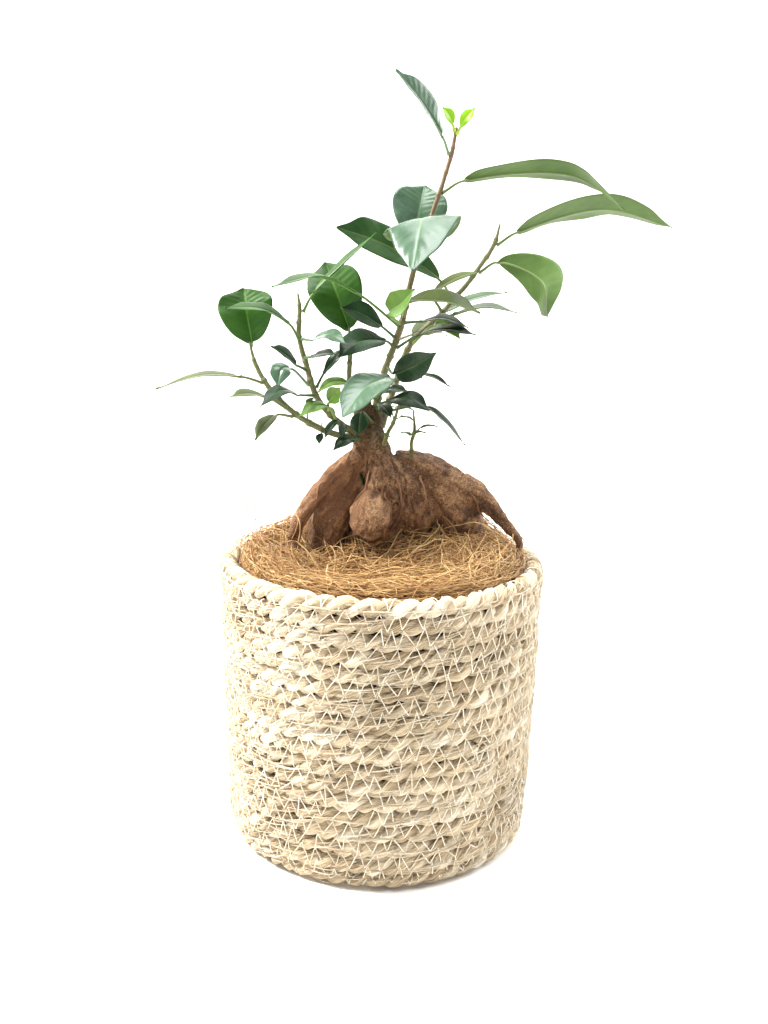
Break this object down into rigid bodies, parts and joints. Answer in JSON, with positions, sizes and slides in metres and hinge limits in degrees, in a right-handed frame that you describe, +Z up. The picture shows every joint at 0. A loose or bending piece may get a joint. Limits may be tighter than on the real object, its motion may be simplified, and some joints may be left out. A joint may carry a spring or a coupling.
{
  "type": "bonsai tree in a pot",
  "caption": "Fig bonsai with swollen roots and leafy shoots, planted in a hidden plastic pot inside a stitched coiled-rope basket topped with coir.",
  "frame": {"origin": "centre of the basket's flat foot, on the surface it stands on", "axes": "+Z up along the basket's axis, -Y towards the front of the plant, +X to its right"},
  "size_m": [0.2457, 0.166, 0.3816],
  "materials": {
    "basket_rope": "matt loosely twisted plant-fibre rope, stitched with white thread",
    "pot_plastic": "matt moulded black plastic",
    "soil": "crumbly dark peat",
    "coir": "loose golden coir fibre",
    "bark": "finely striated brown bark, slightly rough",
    "stem": "smooth young bark, olive to red-brown",
    "sprout": "smooth green-brown sprout",
    "leaf": "leathery waxy leaf, glossy above and matt beneath",
    "young_leaf": "soft thin new leaf, bright lime"
  },
  "bodies": {
    "root": {"arched_leaf": "leaf", "back_leaf": "leaf", "bud_leaf_left": "young_leaf", "bud_leaf_right": "young_leaf", "centre_left_stem": "stem", "coir_topping": "coir", "crossing_leaf": "leaf", "crown_leaf": "leaf", "drooping_right_leaf": "leaf", "front_leaf": "leaf", "front_sprout": "sprout", "great_front_leaf": "leaf", "heart_leaf": "leaf", "left_leaf_1": "leaf", "left_leaf_10": "leaf", "left_leaf_11": "leaf", "left_leaf_2": "leaf", "left_leaf_3": "leaf", "left_leaf_4": "leaf", "left_leaf_5": "leaf", "left_leaf_6": "leaf", "left_leaf_7": "leaf", "left_leaf_8": "leaf", "left_leaf_9": "leaf", "left_stem": "stem", "long_left_leaf": "leaf", "low_leaf_1": "leaf", "low_leaf_2": "leaf", "low_leaf_3": "leaf", "low_leaf_4": "leaf", "low_leaf_5": "leaf", "low_leaf_6": "leaf", "main_stem": "stem", "middle_leaf_1": "leaf", "middle_leaf_2": "leaf", "middle_leaf_3": "leaf", "middle_leaf_4": "leaf", "middle_leaf_5": "leaf", "middle_leaf_6": "leaf", "middle_leaf_7": "leaf", "middle_leaf_8": "leaf", "nursery_pot": "pot_plastic", "outer_leaf_1": "leaf", "outer_leaf_2": "leaf", "outer_left_stem": "stem", "potting_soil": "soil", "right_leaf": "leaf", "right_leaf_3": "leaf", "right_leaf_4": "leaf", "right_leaf_5": "leaf", "right_leaf_6": "leaf", "right_leaf_7": "leaf", "right_sprout": "sprout", "right_stem": "stem", "rope_basket": "basket_rope", "round_leaf": "leaf", "swollen_root": "bark", "upper_right_leaf": "leaf"}
  },
  "joints": []
}
